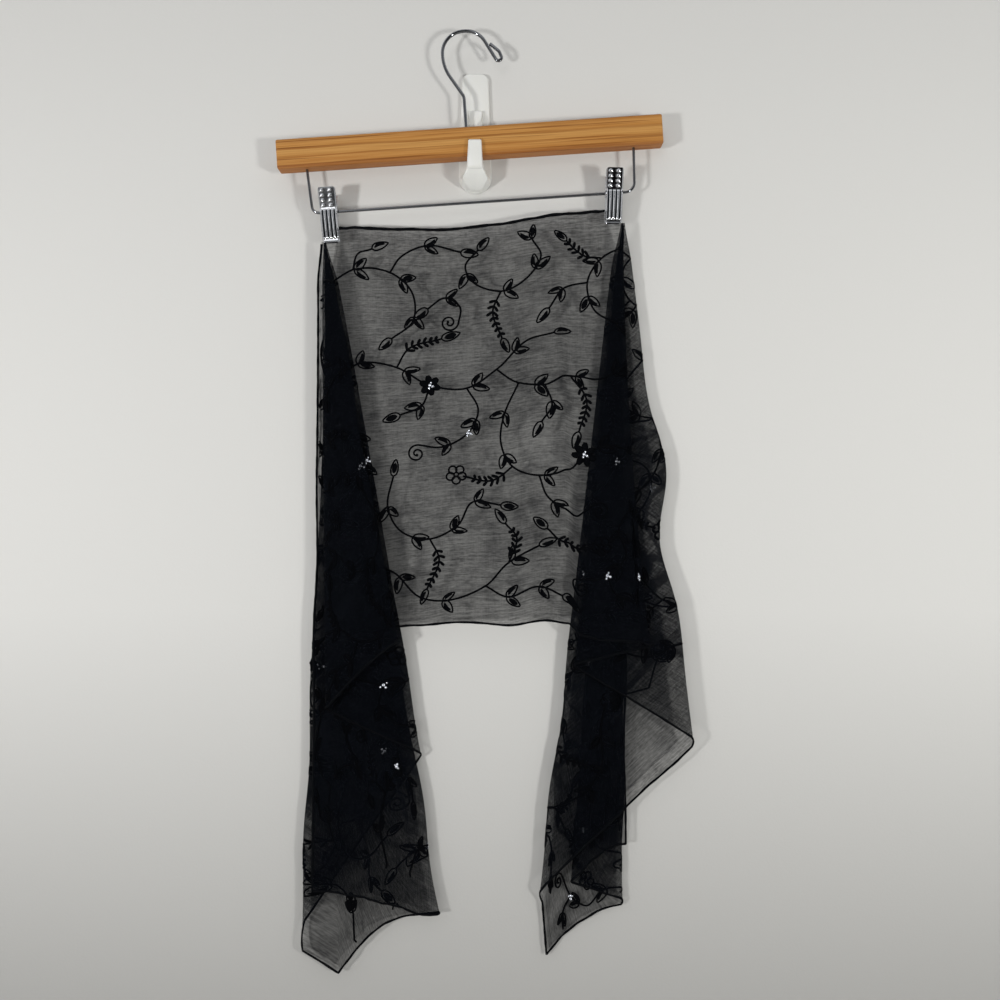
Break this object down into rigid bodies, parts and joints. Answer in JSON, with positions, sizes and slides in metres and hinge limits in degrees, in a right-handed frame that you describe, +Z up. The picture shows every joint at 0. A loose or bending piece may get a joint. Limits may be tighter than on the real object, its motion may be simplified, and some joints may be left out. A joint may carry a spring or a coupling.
{
  "type": "sheer scarf on clip hanger and wall hook",
  "caption": "Long sheer embroidered scarf clipped by one long edge to a trouser hanger, a flat panel between the clips and folded tails outside them, hung on a wall hook.",
  "frame": {"origin": "middle of the wall plate's flat back, on the wall", "axes": "+X to the right as seen from the room, +Y into the wall, +Z up"},
  "size_m": [0.3859, 0.0295, 0.8782],
  "materials": {
    "georgette": "sheer crinkled black georgette with rolled hems",
    "embroidery": "black rayon embroidery thread with a soft shine",
    "sequins": "small glossy sequins and glass beads",
    "bamboo": "laminated bamboo strips, satin lacquer",
    "chromed_steel": "bright chrome plate on steel",
    "white_plastic": "moulded white plastic"
  },
  "bodies": {
    "root": {"scarf_panel": "georgette", "scarf_left_tail": "georgette", "scarf_right_tail": "georgette", "hanger_bar": "bamboo", "steel_hook": "chromed_steel", "clip_rod": "chromed_steel", "left_clip_front_jaw": "chromed_steel", "left_clip_rear_jaw": "chromed_steel", "left_clip_spring": "chromed_steel", "right_clip_front_jaw": "chromed_steel", "right_clip_rear_jaw": "chromed_steel", "right_clip_spring": "chromed_steel", "wall_plate": "white_plastic", "wall_arm": "white_plastic"}
  },
  "joints": []
}
